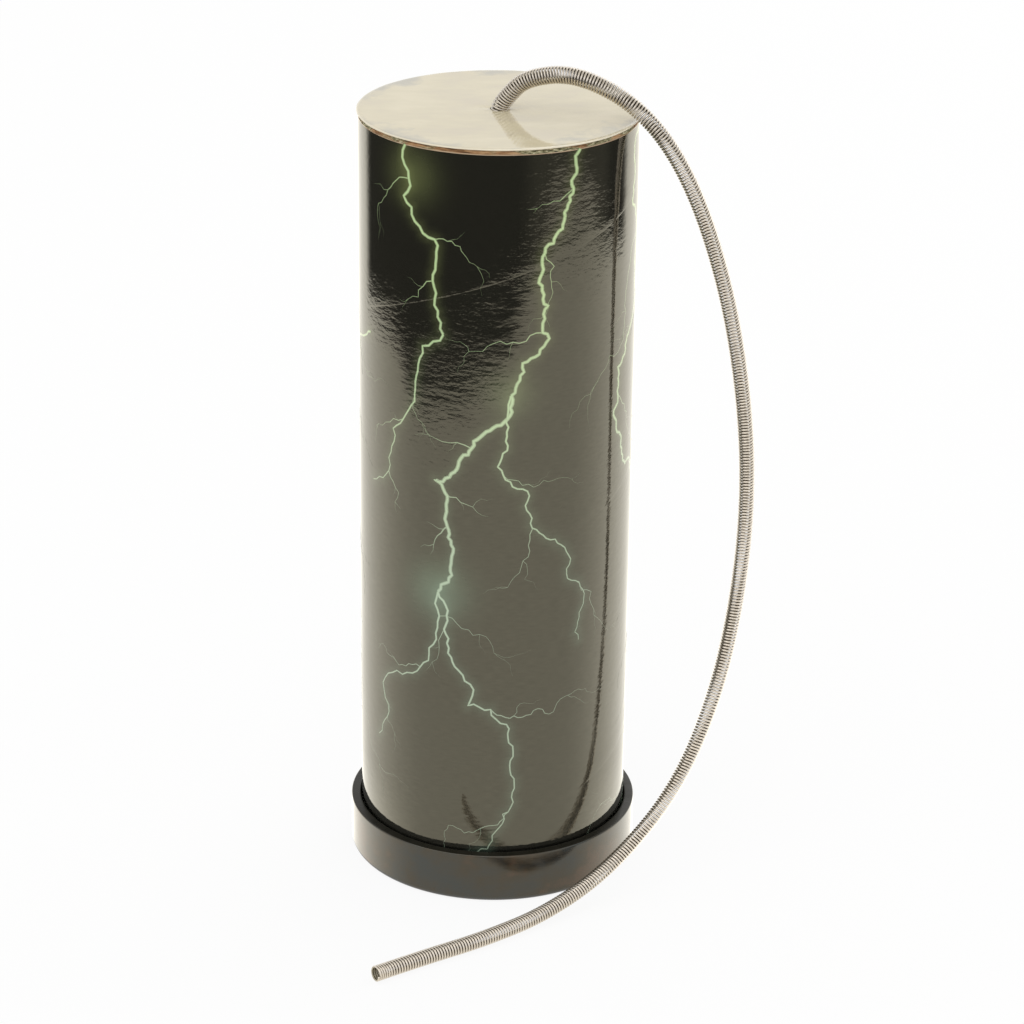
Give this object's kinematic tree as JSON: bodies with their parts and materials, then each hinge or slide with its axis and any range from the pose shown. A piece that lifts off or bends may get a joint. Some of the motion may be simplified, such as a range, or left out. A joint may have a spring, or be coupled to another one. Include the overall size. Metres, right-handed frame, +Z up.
{
  "type": "thunder tube",
  "caption": "Hand-held paper tube with a film head and an open foot, sounded by a long steel coil spring that hangs from the middle of the head.",
  "frame": {"origin": "middle of the foot ring's flat underside, on the tube's axis", "axes": "+Z up the tube towards the head; the spring bows out on the +X side and its tip lies towards -Y"},
  "size_m": [0.112, 0.1248, 0.2302],
  "materials": {
    "liner": "matte kraft ply",
    "chipboard": "matte raw edge",
    "wrap": "gloss black sheet printed with pale green lightning",
    "film": "gloss",
    "glue": "set adhesive",
    "ring": "satin black",
    "bushing": "moulded nylon",
    "screw": "zinc plated",
    "spring_steel": "bright drawn wire"
  },
  "bodies": {
    "tube": {"inner_liner": "liner", "tube_core": "chipboard", "printed_wrap": "wrap", "drum_head": "film", "head_glue": "glue", "base_ring": "ring"},
    "anchor": {"anchor_bushing": "bushing", "anchor_screw": "screw"},
    "spring": {"spring": "spring_steel"}
  },
  "joints": [
    {"name": "spring_turn", "type": "hinge", "parent": "tube", "child": "anchor", "pos_m": [0, 0, 0.2174], "axis": [0, 0, 1], "continuous": true},
    {"name": "spring_nod", "type": "hinge", "parent": "anchor", "child": "spring", "pos_m": [0, 0, 0.2174], "axis": [-0.8944, -0.4472, 0], "range_deg": [0, 60], "deforming": ["spring"]}
  ]
}
